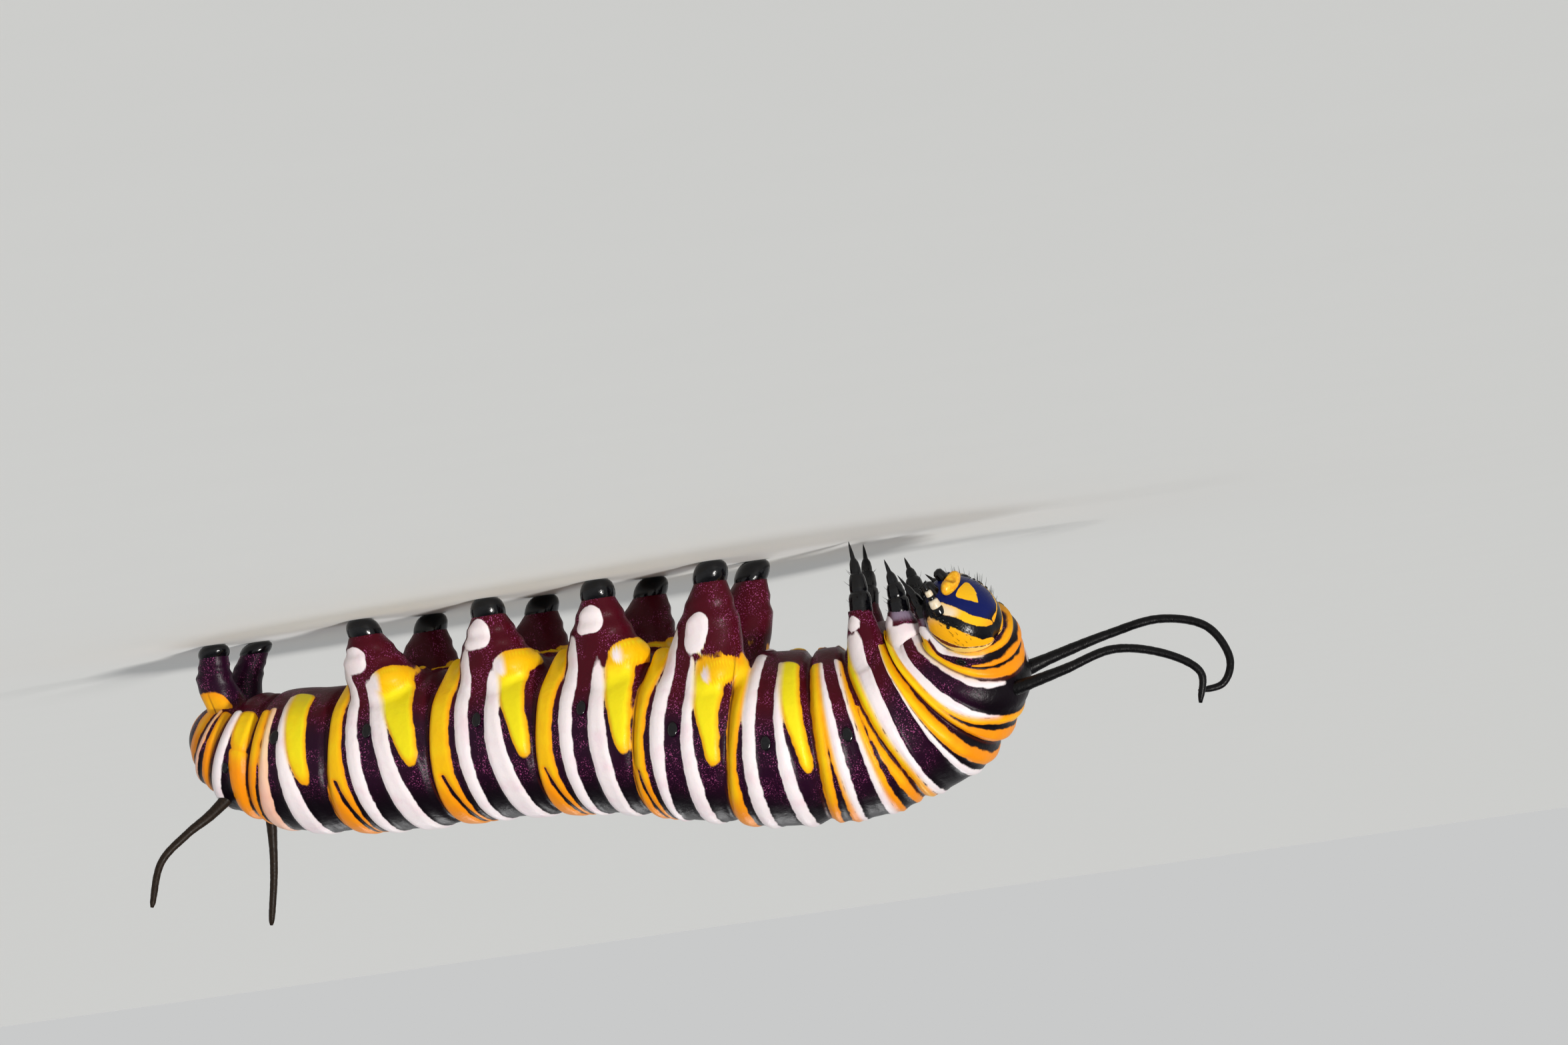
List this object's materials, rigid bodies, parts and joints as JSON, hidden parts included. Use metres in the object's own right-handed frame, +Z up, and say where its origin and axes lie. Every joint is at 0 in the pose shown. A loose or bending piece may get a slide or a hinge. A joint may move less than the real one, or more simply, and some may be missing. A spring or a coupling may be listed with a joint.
{
  "type": "monarch butterfly larva",
  "caption": "Banded butterfly larva on the floor, front arched and head turned down to feed, with a pair of long feelers in front and a shorter pair behind.",
  "frame": {"origin": "middle of the bounding box, on the floor under the feet", "axes": "+X towards the tail, -Y to the larva's left side, +Z up"},
  "size_m": [0.0436, 0.0108, 0.0115],
  "materials": {
    "skin": "soft satin skin, banded yellow, white and black",
    "dark_skin": "soft satin maroon-black skin",
    "shell": "hard glossy black cuticle",
    "horn": "dull black flexible horn"
  },
  "bodies": {
    "root": {"abdomen_1": "skin", "abdomen_10": "skin", "abdomen_2": "skin", "abdomen_3": "skin", "abdomen_4": "skin", "abdomen_5": "skin", "abdomen_6": "skin", "abdomen_7": "skin", "abdomen_8": "skin", "abdomen_9": "skin", "anal_proleg_left": "dark_skin", "anal_proleg_right": "dark_skin", "antenna_left": "shell", "antenna_right": "shell", "front_filament_left_base": "horn", "front_filament_left_middle": "horn", "front_filament_left_tip": "horn", "front_filament_right_base": "horn", "front_filament_right_middle": "horn", "front_filament_right_tip": "horn", "head": "shell", "labium": "shell", "leg_1_left": "shell", "leg_1_right": "shell", "leg_2_left": "shell", "leg_2_right": "shell", "leg_3_left": "shell", "leg_3_right": "shell", "mandible_left": "shell", "mandible_right": "shell", "proleg_3_left": "dark_skin", "proleg_3_right": "dark_skin", "proleg_4_left": "dark_skin", "proleg_4_right": "dark_skin", "proleg_5_left": "dark_skin", "proleg_5_right": "dark_skin", "proleg_6_left": "dark_skin", "proleg_6_right": "dark_skin", "rear_filament_left": "horn", "rear_filament_right": "horn", "thorax_1": "skin", "thorax_2": "skin", "thorax_3": "skin"}
  },
  "joints": []
}
